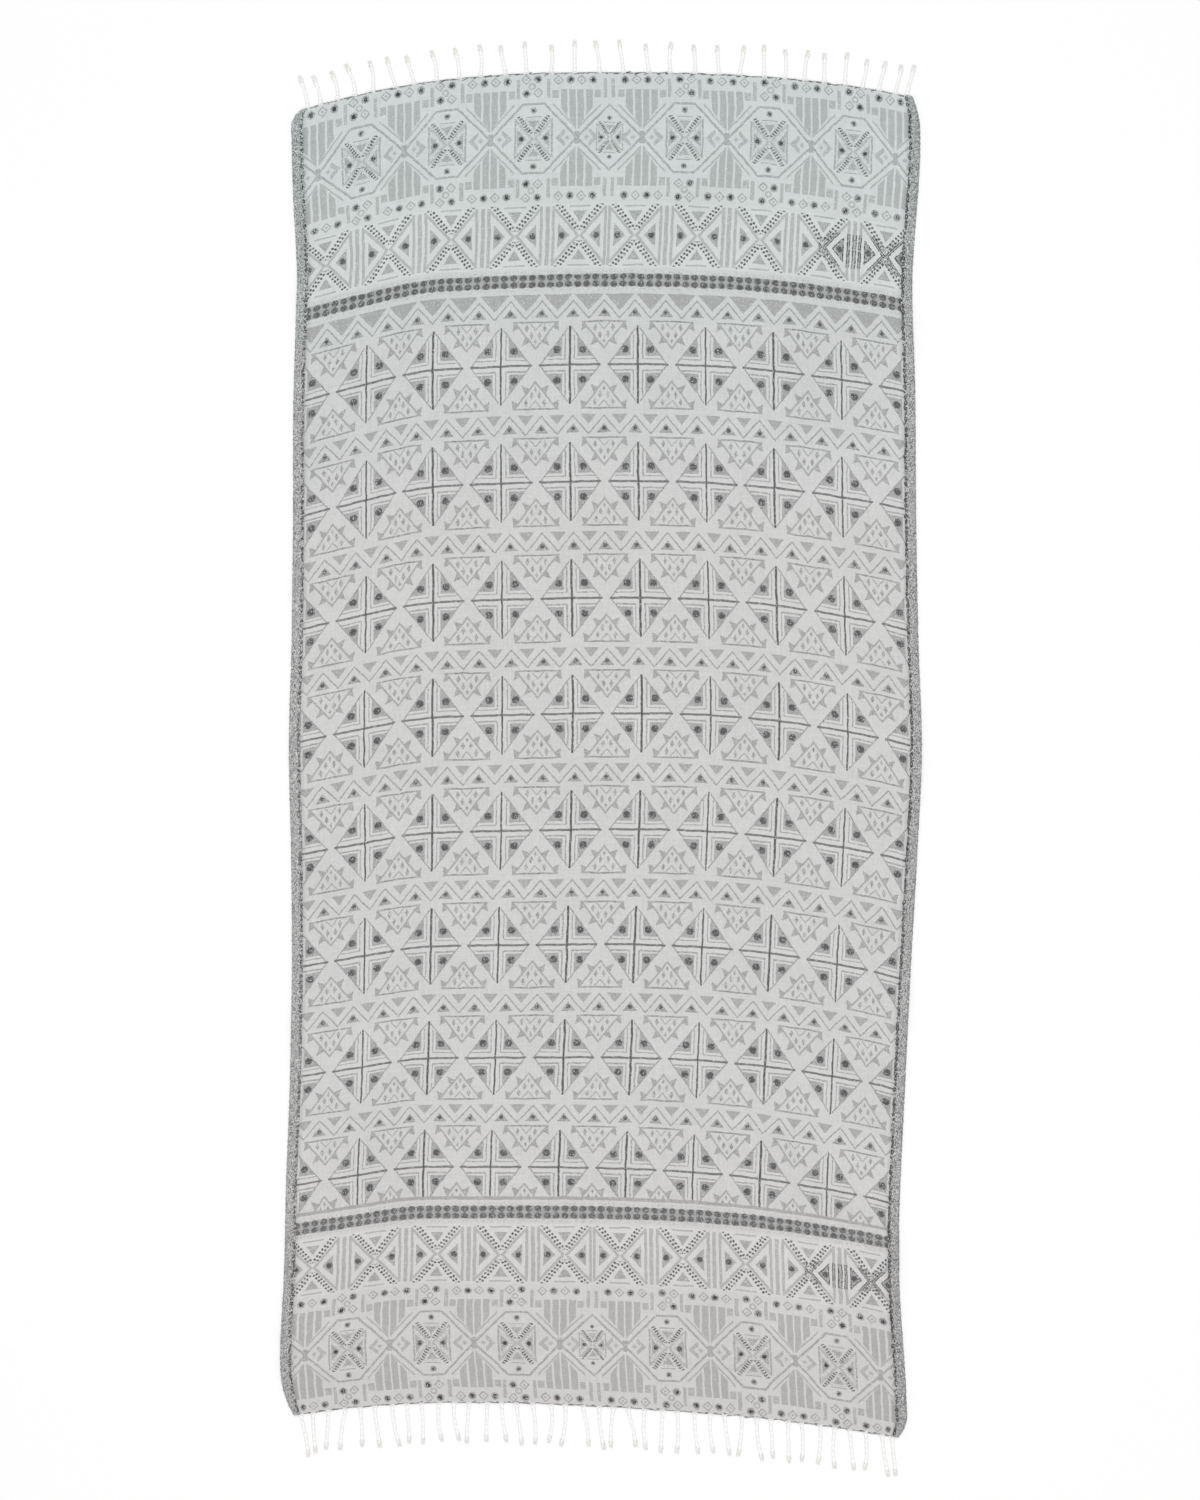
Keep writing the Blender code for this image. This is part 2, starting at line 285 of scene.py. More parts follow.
def swell_at(across, along):
    """How far the cloth stands off the floor here, in millimetres."""
    height = 0.0
    for swell in SWELLS:
        inwards = (1.0 - across * swell.side) / (2.0 * swell.reach)
        off = (along / MM - swell.along) / swell.width
        height += swell.height * math.exp(-off * off) * (1.0 - smooth_step(inwards))
    return max(height - SWELL_FLOOR, 0.0)


def thickness_at(across):
    """(underside, top) above the floor in millimetres, without the swells."""
    from_edge = (1.0 - abs(across)) * HALF_WIDTH / MM
    for (start, low, high), (stop, next_low, next_high) in zip(HEM_SECTION, HEM_SECTION[1:]):
        if from_edge <= stop:
            t = max(from_edge - start, 0.0) / (stop - start)
            return low + (next_low - low) * t, high + (next_high - high) * t
    return 0.0, LAYER


def unevenness(across, along):
    """The cloth's own unevenness, and the pull of the hem's thread, in millimetres."""
    u, v = across * HALF_WIDTH, along
    soft = noise.noise(Vector((u * 14.0, v * 14.0, 3.0)))
    fine = noise.noise(Vector((u * 45.0, v * 60.0, 7.0)))
    from_edge = (1.0 - abs(across)) * HALF_WIDTH / MM
    from_stitch = math.cos(2.0 * math.pi * (along / MM - FIRST_STITCH) / STITCH_STEP)
    pull = -0.18 * from_stitch if 11.0 < from_edge < 15.3 else 0.0
    return 0.28 * soft + 0.12 * fine + pull


# %% Add the grid, extrude its second layer and lay it out
def deselect_all():
    for thing in bpy.context.selected_objects:
        thing.select_set(False)


def start_mesh(name):
    """Names the primitive that was just added."""
    made = bpy.context.active_object
    made.name = made.data.name = name
    return made


deselect_all()
bpy.ops.mesh.primitive_grid_add(x_subdivisions=len(columns) - 1, y_subdivisions=len(rows) - 1, size=2.0)
cloth = start_mesh("woven_sheet")
for vert in cloth.data.vertices:
    column = round((vert.co.x + 1.0) / 2.0 * (len(columns) - 1))
    row = round((1.0 - vert.co.y) / 2.0 * (len(rows) - 1))
    vert.co = (columns[column], rows[row], 0.0)
bpy.ops.object.mode_set(mode="EDIT")
bpy.ops.mesh.select_all(action="SELECT")
bpy.ops.mesh.extrude_region_move(TRANSFORM_OT_translate={"value": (0.0, 0.0, 1.0)})
bpy.ops.object.mode_set(mode="OBJECT")

flat_map = cloth.data.uv_layers[0] if cloth.data.uv_layers else cloth.data.uv_layers.new()
flat_map.name = "flat_cloth"
for loop in cloth.data.loops:
    place = cloth.data.vertices[loop.vertex_index].co
    flat_map.data[loop.index].uv = (place.x * HALF_WIDTH, place.y)
print("flat sheet:", len(cloth.data.polygons), "faces")

# %% [markdown]
# The map that was just made is the cloth's flat plan in metres: every weave below reads it, so its figures
# follow the threads however the cloth lies. The faces take their weaves while the sheet is still flat,
# because a face's band is then a plain distance. The hems show the cloth's reverse, because they are folded
# to the front.

# %% Give each face its weave
HEM_START = 1.0 - (HEM_WIDTH - 1.2 * MM) / HALF_WIDTH
for face in cloth.data.polygons:
    across, along, layer = face.center
    if layer < 0.9 or abs(across) > HEM_START:
        face.material_index = WEAVES.index(REVERSE)
    else:
        face.material_index = WEAVES.index(band_at(along))

# %% Lay the sheet out
EDGE_JAG = 0.45
END_WAVE = 2.0
jag = random.Random(5)
row_sections = [section_at(along) for along in rows]
jags = [[(i % 2 - 0.5) * 2.0 * EDGE_JAG * jag.uniform(0.1, 1.0) for i in range(len(rows))] for _ in range(2)]
for vert in cloth.data.vertices:
    across, along, layer = vert.co
    row = bisect.bisect_left(rows, along - ROW_STEP / 4.0)
    plan = on_floor(across, along, row_sections[row])
    from_edge = (1.0 - abs(across)) * HALF_WIDTH / MM
    side = 1 if across > 0 else -1
    plan.x += side * jags[across > 0][row] * max(0.0, 1.0 - from_edge / 2.4) * MM
    if row in (0, len(rows) - 1):
        plan.y += END_WAVE * noise.noise(Vector((across * 30.0, along, 1.0))) * MM
    low, high = thickness_at(across)
    height = swell_at(across, along) + (high + unevenness(across, along) if layer > 0.5 else low)
    vert.co = (plan.x, plan.y, height * MM)
bpy.ops.object.mode_set(mode="EDIT")
bpy.ops.mesh.select_all(action="SELECT")
bpy.ops.mesh.normals_make_consistent(inside=False)
bpy.ops.object.mode_set(mode="OBJECT")
bpy.ops.object.shade_smooth_by_angle(angle=math.radians(50.0))
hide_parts("towel_cloth")
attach(cloth, "root")
print("laid out:", [round(side, 3) for side in cloth.dimensions], "m")

# %% [markdown]
# ## Figures out of numbers
#
# The figures are woven in, thread by thread, from off-white, grey and charcoal yarn. A picture would be one
# way to show them, but they would be only as sharp as its pixels. Here the material works them out from the
# flat plan, as a weaver's chart does: a figure is a rule about distances, such as "less than 5 mm from here".
#
# `Varying` stands for a number that changes over the cloth. Adding two of them adds a Math node to the
# material, so the rules below read like plain sums.

# %% A number that varies over the cloth
def feed(tree, socket, value):
    """Links a Varying to the socket, or sets the socket to a plain number."""
    if isinstance(value, Varying):
        tree.links.new(value.socket, socket)
    else:
        socket.default_value = value


class Varying:
    """The output of one node. Sums with it add more nodes."""

    def __init__(self, tree, socket):
        self.tree = tree
        self.socket = socket

    def math(self, operation, *values):
        """A Math node fed with these values, each a Varying or a plain number."""
        node = self.tree.nodes.new("ShaderNodeMath")
        node.operation = operation
        for socket, value in zip(node.inputs, values):
            feed(self.tree, socket, value)
        return Varying(self.tree, node.outputs[0])

    def __add__(self, other):
        return self.math("ADD", self, other)

    def __sub__(self, other):
        return self.math("SUBTRACT", self, other)

    def __rsub__(self, other):
        return self.math("SUBTRACT", other, self)

    def __mul__(self, other):
        return self.math("MULTIPLY", self, other)

    def __abs__(self):
        return self.math("ABSOLUTE", self)

    __radd__ = __add__
    __rmul__ = __mul__


# %% [markdown]
# Every figure is built from margins. A margin is a distance in millimetres: above zero inside the figure,
# below zero outside it. Two margins join simply: the smaller one is the part that both figures cover, the
# larger one is the part that either covers.

# %% Margins
def both(first, *others):
    """Inside all of these figures at once."""
    for other in others:
        first = first.math("MINIMUM", first, other)
    return first


def either(first, *others):
    """Inside any of these figures."""
    for other in others:
        first = first.math("MAXIMUM", first, other)
    return first


def line(distance, half_width):
    """A line where the distance is zero."""
    return half_width - abs(distance)


def dot(x, y, radius):
    """A round dot where x and y are zero."""
    return radius - x.math("SQRT", x * x + y * y)


def block(x, y, half_x, half_y):
    """An upright rectangle round the place where x and y are zero."""
    return both(line(x, half_x), line(y, half_y))


def lozenge(x, y, half_x, half_y):
    """A diamond round the place where x and y are zero."""
    scale = 1.0 / math.hypot(half_x, half_y)
    slanted = x.math("MULTIPLY_ADD", abs(x), -half_y * scale, half_x * half_y * scale)
    return x.math("MULTIPLY_ADD", abs(y), -half_x * scale, slanted)


def beyond(x, y, start, rise):
    """Where y is more than start + rise * x."""
    scale = 1.0 / math.hypot(1.0, rise)
    slanted = x.math("MULTIPLY_ADD", x, -rise * scale, -start * scale)
    return x.math("MULTIPLY_ADD", y, scale, slanted)


def from_nearest(value, first, pitch):
    """The distance from the nearest of many places, pitch apart, of which one is first."""
    return value.math("WRAP", value - first, pitch / 2.0, -pitch / 2.0)


# %% [markdown]
# ## The yarns
#
# Seen close, a woven figure has no smooth outline: it goes up and down in steps of one thread. So the chart
# is read at the middle of each crossing of two threads, and not in between. A grey area is a mix of grey and
# off-white threads, which gives it its salt-and-pepper look. The tones in between the three yarns stand for
# places where their threads lie side by side, too fine to chart one by one. Single threads differ a little in
# tone, and that gives plain cloth its faint streaks.
#
# `Draft` makes the nodes that every weave starts from, and at the end lays the yarns over each other in turn.

# %% Yarns and threads
THREAD = 0.75
YARNS = {
    "white": 0.655, "off_white": 0.600, "ecru": 0.585, "pale_grey": 0.430,
    "grey": 0.375, "slate": 0.200, "dark_slate": 0.105, "charcoal": 0.055,
}
MIX_A, MIX_B = 2, 3
# How far a figure's outline strays, in millimetres, from one side to the other.
STRAY = 2.4


class Draft:
    """One weave's material, and the place on the flat cloth in millimetres, thread by thread."""

    def __init__(self, name, thread_length=THREAD):
        self.material = bpy.data.materials.new(name)
        self.material.use_nodes = True
        self.tree = self.material.node_tree
        self.shader = self.tree.nodes["Principled BSDF"]
        plan = self.tree.nodes.new("ShaderNodeUVMap")
        plan.uv_map = "flat_cloth"
        self.plan = plan.outputs["UV"]
        place = self.parts(self.plan)
        stray = self.parts(self.texture("ShaderNodeTexNoise", self.plan, "Color", Scale=60.0, Detail=1.0))
        self.fine_u, self.fine_v = place[0] * 1000.0, place[1] * 1000.0
        self.u = self.snapped(self.fine_u + stray[0] * STRAY - STRAY / 2.0, THREAD)
        self.v = self.snapped(self.fine_v + stray[1] * STRAY - STRAY / 2.0, thread_length)
        crossing = self.joined(self.u, self.v)
        self.chance = Varying(self.tree, self.texture("ShaderNodeTexWhiteNoise", crossing, "Value"))
        self.tone = YARNS["off_white"]

    def parts(self, socket):
        """The three parts of a vector or a colour."""
        node = self.tree.nodes.new("ShaderNodeSeparateXYZ")
        self.tree.links.new(socket, node.inputs[0])
        return [Varying(self.tree, output) for output in node.outputs]

    def joined(self, *parts):
        """A vector made of these parts."""
        node = self.tree.nodes.new("ShaderNodeCombineXYZ")
        for socket, part in zip(node.inputs, parts):
            feed(self.tree, socket, part)
        return node.outputs[0]

    def texture(self, kind, place, output, **values):
        """A texture that reads this place."""
        node = self.tree.nodes.new(kind)
        self.tree.links.new(place, node.inputs["Vector"])
        for name, value in values.items():
            node.inputs[name].default_value = value
        return node.outputs[output]

    def snapped(self, value, pitch):
        """The middle of the thread that this place lies on."""
        return value.math("SNAP", value, pitch) + pitch / 2.0

    def lay(self, yarn, share, *figures):
        """Shows this share of the figures' threads in another yarn."""
        inside = self.chance.math("GREATER_THAN", both(either(*figures), share - self.chance), 0.0)
        mix = self.tree.nodes.new("ShaderNodeMix")
        feed(self.tree, mix.inputs["Factor"], inside)
        feed(self.tree, mix.inputs[MIX_A], self.tone)
        feed(self.tree, mix.inputs[MIX_B], YARNS[yarn])
        self.tone = Varying(self.tree, mix.outputs[0])


# %% [markdown]
# The last step of each weave: the tone gets its streaks, and the surface the relief of a plain weave, one
# thread over and one under in both directions. Cotton is matt, with a soft sheen where its fibres catch the
# light from the side. The colour also carries painted light: it is made a little cooler towards the far end
# of the towel, standing in for cooler light there, and a little warmer and darker towards the near end,
# standing in for warmer, dimmer light. Beside the hems a narrow strip is darkened, a painted shade where the
# hem's raised edge shades the cloth.

# %% Finish a weave
# Painted shade: a narrow strip beside each hem is darkened, as if shaded by the hem's raised edge.
SEAM_AT, SEAM_REACH, PAINTED_HEM_SHADE = 397.3, 3.6, 0.12
# Painted light: the colour turns cooler towards the far end and warmer and darker towards the near end,
# standing in for the lights there.
PAINTED_COOL_LIGHT_FROM, PAINTED_COOL_LIGHT_MOST = 600.0, 0.080
PAINTED_WARM_LIGHT_FROM, PAINTED_WARM_LIGHT_MOST = 1250.0, 0.030
PAINTED_SHADE_FROM, PAINTED_SHADE_MOST = 1400.0, 0.090
STREAKS = 0.18
DARK_THREAD, THREAD_SPREAD = 0.93, 0.16
BLUE_SHARE, BLUE_BASE = 0.983, 0.003
WEAVE_RELIEF = 0.0002


def streaks(draft, across, along):
    """Patches drawn out into streaks. The two numbers are how many there are in a metre, each way."""
    mapping = draft.tree.nodes.new("ShaderNodeMapping")
    mapping.inputs["Scale"].default_value = (across, along, 1.0)
    draft.tree.links.new(draft.plan, mapping.inputs["Vector"])
    patches = draft.texture("ShaderNodeTexNoise", mapping.outputs[0], "Fac", Scale=1.0, Detail=1.0)
    return Varying(draft.tree, patches) - 0.5


def finish_weave(draft):
    """Colour, relief and roughness of a woven cotton."""
    uneven = streaks(draft, 700.0, 35.0) + streaks(draft, 35.0, 600.0) + streaks(draft, 9.0, 9.0) * 0.5
    tone = draft.tone * (uneven * STREAKS + 1.0) * (draft.chance * THREAD_SPREAD + DARK_THREAD)
    v = draft.fine_v
    length = CLOTH_LENGTH / MM
    # Painted shade beside the hems.
    painted_hem_shade = v.math("MAXIMUM", line(abs(draft.fine_u) - SEAM_AT, SEAM_REACH) * (PAINTED_HEM_SHADE / SEAM_REACH), 0.0)
    # Painted shade: the tone gets darker towards the near end.
    dark = v.math("MAXIMUM", (v - PAINTED_SHADE_FROM) * (PAINTED_SHADE_MOST / (length - PAINTED_SHADE_FROM)), 0.0)
    tone = tone * (1.0 - painted_hem_shade - dark)
    # Painted light: cooler towards the far end, warmer towards the near end.
    painted_cool_light = v.math("MAXIMUM", (PAINTED_COOL_LIGHT_FROM - v) * (PAINTED_COOL_LIGHT_MOST / PAINTED_COOL_LIGHT_FROM), 0.0)
    painted_warm_light = v.math("MAXIMUM", (v - PAINTED_WARM_LIGHT_FROM) * (PAINTED_WARM_LIGHT_MOST / (length - PAINTED_WARM_LIGHT_FROM)), 0.0)
    red = tone * (painted_warm_light - painted_cool_light + 1.0)
    blue = tone * BLUE_SHARE + BLUE_BASE
    draft.tree.links.new(draft.joined(red, tone, blue), draft.shader.inputs["Base Color"])
    turn = math.pi / THREAD
    over_under = v.math("SINE", draft.fine_u * turn) * v.math("SINE", v * turn)
    bump = draft.tree.nodes.new("ShaderNodeBump")
    bump.inputs["Strength"].default_value = 0.6
    bump.inputs["Distance"].default_value = WEAVE_RELIEF
    feed(draft.tree, bump.inputs["Height"], over_under)
    draft.tree.links.new(bump.outputs["Normal"], draft.shader.inputs["Normal"])
    feed(draft.tree, draft.shader.inputs["Roughness"], draft.chance * 0.12 + 0.84)
    draft.shader.inputs["Specular IOR Level"].default_value = 0.2
    draft.shader.inputs["Sheen Weight"].default_value = 0.15
    draft.shader.inputs["Sheen Roughness"].default_value = 0.5
    print(draft.material.name, "has", len(draft.tree.nodes), "nodes")
    return draft.material


# %% [markdown]
# ## The field of diamonds
#
# Eight rows of diamonds fill the middle of the towel. Each diamond is quartered by an upright and a level
# line, and every quarter holds a grey triangle with a dark dot. Between two diamonds stand two triangles, tip
# to tip, and between two rows of diamonds runs a zigzag.
#
# A figure that is the same left and right is charted once: the distance from its middle line is taken, and
# its sign dropped. Wrapping that distance repeats the figure over the whole width. The same holds down the
# cloth.

# %% Chart the diamonds
DIAMOND_PITCH = 90.3
ROW_PITCH = 153.0
FIRST_ROW = 389.3
ROW_START = -94.0

field = Draft(FIELD)
x = abs(from_nearest(field.u, DIAMOND_PITCH / 2.0, DIAMOND_PITCH))
row_y = field.v.math("WRAP", field.v - FIRST_ROW, ROW_START + ROW_PITCH, ROW_START)
y = abs(row_y)
diamond = lozenge(x, y, 40.5, 53.5)
quarters = both(diamond, x - 10.0, y - 11.4)
inner_lines = either(
    both(line(x - 6.2, 0.85), y - 7.2, 41.0 - y),
    both(line(y - 7.8, 0.85), x - 6.2, 32.5 - x),
)
diamond_edge = both(diamond, 1.6 - diamond, x - 2.5, y - 2.0)
diamond_tips = both(diamond, x - 36.5, 4.5 - y)
upright = both(line(x, 1.4), 51.5 - y)
level = both(line(y, 1.4), 41.0 - x)
diamond_dots = dot(x - 17.0, y - 19.9, 5.2)

# %% [markdown]
# The triangles between the diamonds have two small fins on each side. A fin is what lies outside the triangle
# and beyond two more slanted lines.

# %% Chart the triangles between the diamonds
gap = DIAMOND_PITCH / 2.0 - x
triangle = beyond(gap, y, 21.8, 1.289)
outside = -1.0 * triangle
sides = both(line(triangle, 1.2), 56.5 - y)
base = both(line(y - 57.2, 1.05), 30.0 - gap)
corner_fins = both(outside, beyond(gap, y, 61.8, -0.53), beyond(y, -1.0 * gap, -38.7, 0.17), 57.0 - y)
side_fins = both(outside, beyond(gap, y, 33.3, -0.41), beyond(y, -1.0 * gap, -28.2, 0.389))
chevron = both(line(beyond(gap, y, 47.0, 1.15), 0.75), 55.5 - y)
seeds = either(
    lozenge(gap - 11.8, y - 49.2, 2.7, 5.5),
    lozenge(gap - 5.2, y - 39.6, 2.7, 5.5),
    lozenge(gap, y - 31.5, 2.1, 3.6),
)

# %% Chart the zigzag
ZIGZAG_PITCH = 41.3
peak = abs(from_nearest(field.u, 0.0, ZIGZAG_PITCH))
zigzag = line(beyond(peak, row_y, -86.0, 1.162), 0.95)
tents = both(beyond(peak, row_y, -76.2, 1.30), -64.0 - row_y)
beads = dot(peak, row_y + 69.5, 3.2)
notches = both(beyond(ZIGZAG_PITCH / 2.0 - peak, -1.0 * row_y, 74.5, 1.28), row_y + 88.0)
first_notches = both(field.v - 294.4, beyond(peak, FIRST_ROW - field.v, 96.3, -1.162))

# %% Lay the field's yarns
FIELD_START, FIELD_STOP = 296.0, 1498.9
EDGE_LINE_WIDTH = 5.1
whole_rows = both(field.v - FIELD_START, FIELD_STOP - field.v)
edge_line = both(field.v - FIELD_STOP, FIELD_STOP + EDGE_LINE_WIDTH - field.v)
light_cross = both(diamond, either(10.0 - x, 11.4 - y))
cores = either(diamond_dots - 0.8, beads - 1.05)


def lay_in_rows(yarn, share, *figures):
    """Shows a yarn in these figures, in the whole rows only."""
    field.lay(yarn, share, both(either(*figures), whole_rows))


field.lay("ecru", 0.90, abs(field.u) + 1.0)
lay_in_rows("white", 0.25, light_cross)
lay_in_rows("grey", 0.94, quarters, corner_fins, side_fins, tents, notches)
field.lay("grey", 0.94, first_notches)
lay_in_rows("grey", 0.95, sides, base, zigzag)
field.lay("grey", 0.95, edge_line)
lay_in_rows("grey", 0.97, chevron, diamond_edge, diamond_tips)
lay_in_rows("slate", 0.06, quarters, side_fins, corner_fins)
lay_in_rows("slate", 0.18, tents, diamond_edge)
lay_in_rows("grey", 0.86, inner_lines, seeds)
lay_in_rows("slate", 0.18, seeds)
lay_in_rows("slate", 0.12, inner_lines, zigzag)
lay_in_rows("slate", 0.94, level, upright, diamond_dots, beads)
lay_in_rows("slate", 0.34, both(base, 20.0 - gap))
lay_in_rows("dark_slate", 0.12, diamond_edge, level)
lay_in_rows("dark_slate", 0.85, upright)
lay_in_rows("dark_slate", 0.88, cores)
lay_in_rows("charcoal", 0.12, cores)

# %% [markdown]
# ## The bands at each end
#
# Three bands run across each end, and the near end's bands are those of the far end turned over. So they are
# charted by the distance from the nearer end.
#
# The crossed band is a row of X figures. Each arm is double, one plain and one of dark dashes. Between the
# arms stand triangles, two of them with dots. Upright bars part one X from the next. Near the right hem a
# darker yarn was woven in, and there the figures have dark outlines.

# %% Chart the crosses
HALFWAY = 900.0


def from_end(draft):
    """The distance from the nearer end, in millimetres."""
    return both(draft.v, CLOTH_LENGTH / MM - draft.v)


crosses = Draft(CROSSES)
x = abs(from_nearest(abs(crosses.u), 37.0, 84.7))
y = abs(from_end(crosses) - 216.9)
arms = both(line(beyond(y, x, 2.2, 0.855), 1.8), 36.5 - y)
off_arm = beyond(y, x, -4.2, 0.775)
down_arm = (y + x * 0.775) * 0.79
step = from_nearest(down_arm - off_arm.math("SIGN", off_arm) * 0.5, 0.7, 5.5)
dashes = both(dot(step, abs(off_arm) - 2.0, 1.75), y - 6.8, 41.2 - y)
side_triangles = both(beyond(y, x, 13.0, 0.945), 28.0 - x)
end_triangles = both(beyond(x, y, 17.9, 1.56), 32.4 - y)
cross_dots = dot(x - 22.9, y, 4.6)
cross_lines = both(line(y - 39.0, 1.1), 14.2 - x)
bars = both(either(line(x - 42.35, 2.7), line(x - 34.3, 1.9)), 39.5 - y)

# %% Lay the crossed band's yarns
crosses.lay("white", 0.65, 43.0 - y)
crosses.lay("pale_grey", 0.92, arms, bars, cross_lines)
crosses.lay("grey", 0.88, side_triangles, end_triangles)
far_half = crosses.v.math("LESS_THAN", crosses.v, HALFWAY)
darker_yarn = both(crosses.u - 286.0, far_half * 5.0 + 17.0 - y)
outlines = line(either(side_triangles, arms, bars) - 0.5, 0.75)
crosses.lay("slate", 0.38, both(darker_yarn, line(off_arm, 3.6)))
crosses.lay("slate", 0.22, both(darker_yarn, either(side_triangles, end_triangles, bars)))
crosses.lay("charcoal", 0.74, both(darker_yarn, outlines))
crosses.lay("slate", 0.92, dashes, cross_dots)
crosses.lay("dark_slate", 0.96, cross_dots - 1.2)
crosses.lay("charcoal", 0.80, dashes - 0.6)

# %% [markdown]
# The dark band is two rows of close-set dots. Each is joined to the one in the other row by a narrow neck. At
# the far end the dots are a little darker.

# %% Chart the dark band
close_dots = Draft(CLOSE_DOTS)
y = from_end(close_dots) - 276.7
x = abs(from_nearest(close_dots.u, 0.0, 12.07))
from_row = abs(y) - 4.8
round_dots = dot(x * 0.85, from_row, 4.25)
necks = block(x, y, 1.9, 4.1)
near_half = close_dots.v.math("GREATER_THAN", close_dots.v, HALFWAY)
close_dots.lay("pale_grey", 0.20, 14.0 - abs(y))
close_dots.lay("grey", 0.97, 8.6 - abs(y))
close_dots.lay("slate", near_half * 0.04 + 0.04, 8.6 - abs(y))
close_dots.lay("slate", 0.60, necks)
close_dots.lay("slate", 0.92, round_dots)
close_dots.lay("dark_slate", near_half * -0.20 + 0.80, round_dots - 0.6)

# %% [markdown]
# The widest band holds a row of medallions, joined by crossings of two double lines. Each medallion frames a
# small X like those of the crossed band, and the middle medallion is smaller than the others. Bars stand like
# rays over and under the crossings, with a row of dots and small diamonds beyond them.

# %% Chart the medallions
SMALL = 0.7
CROSSING = 43.1
CROSSING_PITCH = 112.6

medallions = Draft(MEDALLIONS)
out = abs(medallions.u)
middle = out.math("LESS_THAN", out, CROSSING)
crossing_x = from_nearest(out, CROSSING, CROSSING_PITCH)
n = abs(crossing_x)
m = CROSSING_PITCH / 2.0 - (CROSSING_PITCH / 2.0 - CROSSING) * middle - n
y = abs(from_end(medallions) - 87.0)
rise = 1.08 - 0.07 * middle
outline = line(both((n * rise - y) * 0.69, 46.0 - y), 1.5)
second = both(line((n * rise + 11.5 - y) * 0.69, 1.15), 31.5 - n, n - 1.3)
rays = both(either(line(n - 5.3, 4.0), line(n - 16.7, 4.3)), 64.5 - y, beyond(n, y, 12.5, 1.30))
squares = block(n - 27.9, y - 58.5, 4.1, 5.0)
posts = both(line(m - 19.6 + 14.4 * middle, 2.3), line(y - 66.0, 12.5))
post_at_crossing = block(n, y, 3.2, 8.0)
eye = lozenge(n - 12.6, y, 7.2, 7.2)
eye_centre = lozenge(n - 12.6, y, 3.3, 3.3)
brackets = both(lozenge(n - 13.0, y, 15.5, 15.5), -1.0 * lozenge(n - 13.0, y, 8.4, 8.4), n - 15.5, 11.5 - y)

# %% Chart the small X in each medallion
grown = middle * (1.0 / SMALL - 1.0) + 1.0
x_in, y_in = m * grown, y * grown
side_bars = both(line(x_in - 24.2, 1.1), 26.0 - y_in)
inner_arms = both(line(beyond(y_in, x_in, 1.8, 0.86), 1.3), 25.0 - y_in)
inner_sides = both(beyond(y_in, x_in, 9.3, 0.95), 21.0 - x_in)
inner_ends = both(beyond(x_in, y_in, 12.5, 1.45), 23.6 - y_in)
inner_lines = both(line(y_in - 28.6, 0.95), 10.4 - x_in)
inner_dots = dot(x_in - 15.6, y_in, 3.6)
outer_dots = dot(x_in, y_in - 37.3, 4.3)
off_arm = (x_in - 5.0 - (y_in - 9.3) * 0.70) * 0.82
inner_step = from_nearest(y_in + x_in * 0.70, 0.0, 4.7)
inner_dashes = both(line(off_arm, 2.6), line(inner_step, 1.35 + 0.25 * middle), y_in - 6.5, 29.8 - y_in)

# %% [markdown]
# The dots and small diamonds take turns: a dot, a diamond, a dot, a diamond. So their chart keeps the sign of
# the distance from the crossing or from the medallion's middle. Only the band as a whole is mirrored.

# %% Chart the dots and small diamonds
past_middle = -1.0 * m * out.math("SIGN", crossing_x)
wide_only = 50.0 - middle * 100.0


def dots(radius):
    """All dots of the band: two in each row over a crossing, two over each wide medallion."""
    grouped = either(dot(past_middle + 6.0, y - 78.7, radius), dot(past_middle - 9.0, y - 60.3, radius))
    in_row = either(dot(crossing_x + 22.3, y - 77.0, radius), dot(crossing_x - 7.9, y - 77.0, radius))
    return either(in_row, both(grouped, wide_only))


def diamonds(half):
    """All small diamonds, which take turns with the dots."""
    upper = lozenge(past_middle - 9.5, y - 78.7, half, half)
    lower = lozenge(past_middle + 5.8, y - 60.3, half, half)
    left = lozenge(crossing_x + 7.0, y - 77.0, half, half)
    right = lozenge(crossing_x - 23.2, y - 77.0, half, half)
    return either(left, right, both(either(upper, lower), wide_only))


small_centre = both(line(dot(past_middle - 2.0, y - 69.2, 3.6), 1.2), wide_only)

# %% Lay the medallion band's yarns
medallions.lay("white", 0.30, 100.0 - y)
medallions.lay("pale_grey", 0.20, block(x_in, y_in, 23.0, 26.0))
medallions.lay("pale_grey", 0.88, squares, posts, brackets, inner_arms, small_centre)
medallions.lay("pale_grey", 0.95, second)
medallions.lay("pale_grey", 0.97, rays)
medallions.lay("grey", 0.86, outline, post_at_crossing, inner_sides, inner_ends, inner_lines, side_bars)
medallions.lay("off_white", 0.95, both(eye, -1.0 * eye_centre))
medallions.lay("pale_grey", 0.90, eye_centre)
medallions.lay("grey", 0.88, outer_dots, dots(5.4), line(diamonds(5.9), 0.85), diamonds(1.8))
medallions.lay("slate", 0.88, inner_dots, outer_dots - 1.5, inner_dashes, dots(3.7))
medallions.lay("charcoal", 0.40, inner_dashes)
medallions.lay("dark_slate", 0.97, outer_dots - 2.6, inner_dots - 0.9)
medallions.lay("charcoal", 0.88, inner_dots - 1.8, dots(2.6))
medallions.lay("slate", 0.75, 1.3 - from_end(medallions))

# %% [markdown]
# ## The reverse
#
# On the back of such a cloth the yarns lie mixed, like tweed. It shows on the side hems, because they are
# folded to the front. The sewing darkens their inner edge, and the right hem is sewn more densely than the
# left.

